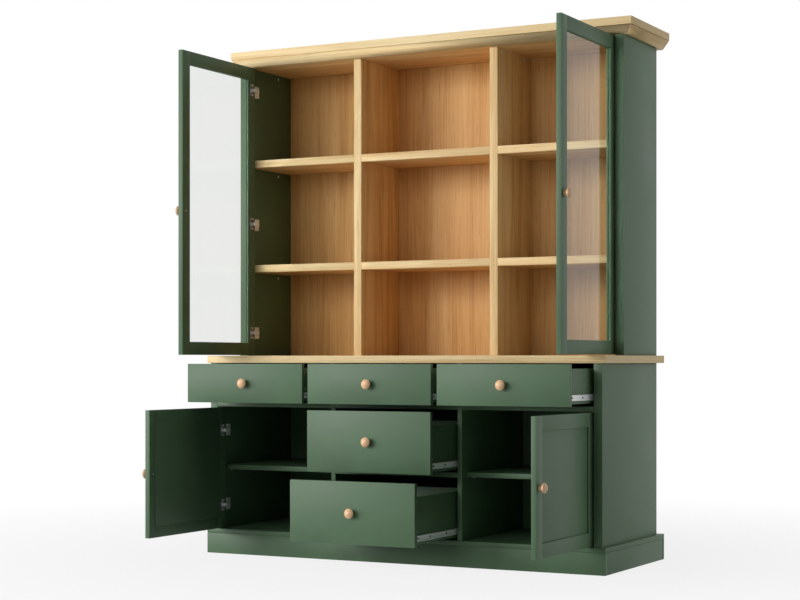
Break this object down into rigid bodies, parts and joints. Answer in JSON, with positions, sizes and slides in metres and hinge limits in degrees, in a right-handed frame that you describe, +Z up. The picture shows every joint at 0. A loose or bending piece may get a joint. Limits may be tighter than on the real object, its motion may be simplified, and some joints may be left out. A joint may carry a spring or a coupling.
{
  "type": "buffet and hutch",
  "caption": "Painted buffet with oak counter, drawers and panelled cupboard doors, carrying an oak-lined hutch with open shelves, glazed doors and a mitred oak cornice.",
  "frame": {"origin": "on the floor, under the middle of the plinth's footprint", "axes": "+X to the right seen from the front, +Y to the back, +Z up"},
  "size_m": [1.716, 1.0953, 2],
  "materials": {
    "green_paint": "satin paint",
    "oak": "clear satin lacquer",
    "knob_wood": "clear satin lacquer",
    "pane_glass": "clear",
    "bright_steel": "bright zinc"
  },
  "bodies": {
    "cabinet": {"base_back": "green_paint", "base_board": "green_paint", "base_dividers": "green_paint", "base_side_left": "green_paint", "base_side_right": "green_paint", "centre_rail": "green_paint", "cornice_cap": "oak", "cornice_mouldings": "oak", "cornice_rear": "oak", "countertop": "oak", "cupboard_shelves": "green_paint", "drawer_decks": "green_paint", "drawer_runners": "bright_steel", "hinge_arms": "bright_steel", "hutch_back": "oak", "hutch_dividers": "oak", "hutch_roof": "oak", "hutch_shelves": "oak", "hutch_side_left": "green_paint", "hutch_side_right": "green_paint", "plinth_boards": "green_paint", "shelf_pins": "bright_steel"},
    "upper_left_door": {"upper_left_door_beads": "green_paint", "upper_left_door_frame": "green_paint", "upper_left_door_glass": "pane_glass", "upper_left_door_hinge_cups": "bright_steel", "upper_left_door_knob": "knob_wood"},
    "upper_right_door": {"upper_right_door_beads": "green_paint", "upper_right_door_frame": "green_paint", "upper_right_door_glass": "pane_glass", "upper_right_door_hinge_cups": "bright_steel", "upper_right_door_knob": "knob_wood"},
    "lower_left_door": {"lower_left_door_frame": "green_paint", "lower_left_door_hinge_cups": "bright_steel", "lower_left_door_knob": "knob_wood", "lower_left_door_panel": "green_paint"},
    "lower_right_door": {"lower_right_door_frame": "green_paint", "lower_right_door_hinge_cups": "bright_steel", "lower_right_door_knob": "knob_wood", "lower_right_door_panel": "green_paint"},
    "top_left_drawer": {"top_left_drawer_box": "green_paint", "top_left_drawer_front": "green_paint", "top_left_drawer_knob": "knob_wood", "top_left_drawer_slides": "bright_steel"},
    "top_centre_drawer": {"top_centre_drawer_box": "green_paint", "top_centre_drawer_front": "green_paint", "top_centre_drawer_knob": "knob_wood", "top_centre_drawer_slides": "bright_steel"},
    "top_right_drawer": {"top_right_drawer_box": "green_paint", "top_right_drawer_front": "green_paint", "top_right_drawer_knob": "knob_wood", "top_right_drawer_slides": "bright_steel"},
    "middle_drawer": {"middle_drawer_box": "green_paint", "middle_drawer_front": "green_paint", "middle_drawer_knob": "knob_wood", "middle_drawer_slides": "bright_steel"},
    "bottom_drawer": {"bottom_drawer_box": "green_paint", "bottom_drawer_front": "green_paint", "bottom_drawer_knob": "knob_wood", "bottom_drawer_slides": "bright_steel"}
  },
  "joints": [
    {"name": "upper_left_door_hinge", "type": "hinge", "parent": "cabinet", "child": "upper_left_door", "pos_m": [-0.777, -0.08, 0], "axis": [0, 0, -1], "range_deg": [-90, 8]},
    {"name": "upper_right_door_hinge", "type": "hinge", "parent": "cabinet", "child": "upper_right_door", "pos_m": [0.777, -0.08, 0], "axis": [0, 0, 1], "range_deg": [-90, 8]},
    {"name": "lower_left_door_hinge", "type": "hinge", "parent": "cabinet", "child": "lower_left_door", "pos_m": [-0.777, -0.292, 0], "axis": [0, 0, -1], "range_deg": [-90, 8]},
    {"name": "lower_right_door_hinge", "type": "hinge", "parent": "cabinet", "child": "lower_right_door", "pos_m": [0.777, -0.292, 0], "axis": [0, 0, 1], "range_deg": [-90, 8]},
    {"name": "top_left_drawer_slide", "type": "slide", "parent": "cabinet", "child": "top_left_drawer", "axis": [0, -1, 0], "range_m": [-0.212, 0.148]},
    {"name": "top_centre_drawer_slide", "type": "slide", "parent": "cabinet", "child": "top_centre_drawer", "axis": [0, -1, 0], "range_m": [-0.212, 0.148]},
    {"name": "top_right_drawer_slide", "type": "slide", "parent": "cabinet", "child": "top_right_drawer", "axis": [0, -1, 0], "range_m": [-0.212, 0.148]},
    {"name": "middle_drawer_slide", "type": "slide", "parent": "cabinet", "child": "middle_drawer", "axis": [0, -1, 0], "range_m": [-0.215, 0.145]},
    {"name": "bottom_drawer_slide", "type": "slide", "parent": "cabinet", "child": "bottom_drawer", "axis": [0, -1, 0], "range_m": [-0.336, 0.024]}
  ]
}
